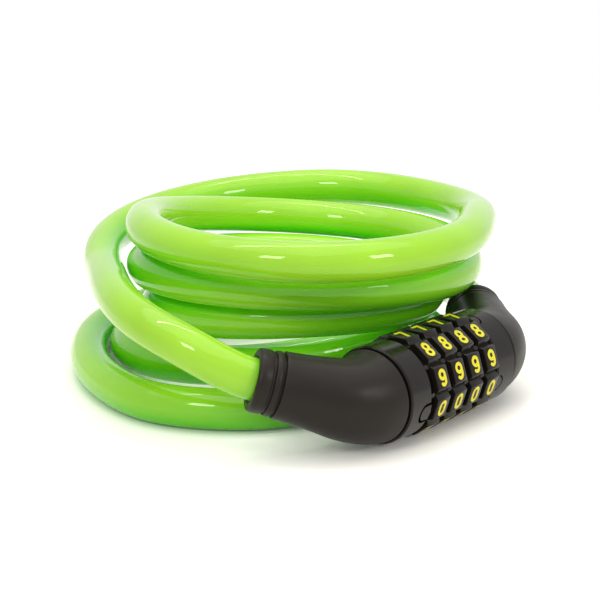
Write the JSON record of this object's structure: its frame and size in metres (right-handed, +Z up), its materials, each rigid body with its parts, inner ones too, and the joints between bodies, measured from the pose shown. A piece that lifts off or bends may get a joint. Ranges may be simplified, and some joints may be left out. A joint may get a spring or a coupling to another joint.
{
  "type": "combination cable lock",
  "caption": "Coiled cable in a soft jacket whose ends are closed together by a round lock with turning number dials between two curved end caps.",
  "frame": {"origin": "on the surface that the closed lock lies on, under the middle of the dials", "axes": "+X along the lock's axis from the plug to the barrel, +Y from the lock towards the coil, +Z up from the surface"},
  "size_m": [0.1584, 0.1457, 0.0519],
  "materials": {
    "cable_jacket": "glossy soft PVC",
    "elbow": "fine matte grain",
    "ring": "gloss",
    "dial": "gloss",
    "steel": "turned",
    "brass": "turned"
  },
  "bodies": {
    "lock": {"core_tube": "steel", "core_cap": "ring", "circlip": "steel", "clutch_spring": "steel", "barrel_elbow": "elbow", "barrel_cross_pin": "steel", "barrel_ferrule": "steel", "barrel_strand": "steel", "cable_coil": "cable_jacket", "plug_lead": "cable_jacket", "barrel_lead": "cable_jacket"},
    "plug": {"lock_pin": "steel", "plug_elbow": "elbow", "plug_ring": "ring", "plug_cross_pin": "steel", "plug_ferrule": "steel", "plug_strand": "steel"},
    "dial_1": {"dial_1": "dial", "code_wheel_1": "brass"},
    "dial_2": {"dial_2": "dial", "code_wheel_2": "brass"},
    "dial_3": {"dial_3": "dial", "code_wheel_3": "brass"},
    "dial_4": {"dial_4": "dial", "code_wheel_4": "brass"},
    "reset": {"reset_ring": "ring"}
  },
  "joints": [
    {"name": "plug_slide", "type": "slide", "parent": "lock", "child": "plug", "axis": [-1, 0, 0], "range_m": [0, 0.045], "deforming": ["plug_lead"]},
    {"name": "dial_1_turn", "type": "hinge", "parent": "lock", "child": "dial_1", "pos_m": [0, 0, 0.0134], "axis": [1, 0, 0], "continuous": true},
    {"name": "dial_2_turn", "type": "hinge", "parent": "lock", "child": "dial_2", "pos_m": [0, 0, 0.0134], "axis": [1, 0, 0], "continuous": true},
    {"name": "dial_3_turn", "type": "hinge", "parent": "lock", "child": "dial_3", "pos_m": [0, 0, 0.0134], "axis": [1, 0, 0], "continuous": true},
    {"name": "dial_4_turn", "type": "hinge", "parent": "lock", "child": "dial_4", "pos_m": [0, 0, 0.0134], "axis": [1, 0, 0], "continuous": true},
    {"name": "reset_turn", "type": "hinge", "parent": "lock", "child": "reset", "pos_m": [0, 0, 0.0134], "axis": [1, 0, 0], "range_deg": [0, 90]}
  ]
}
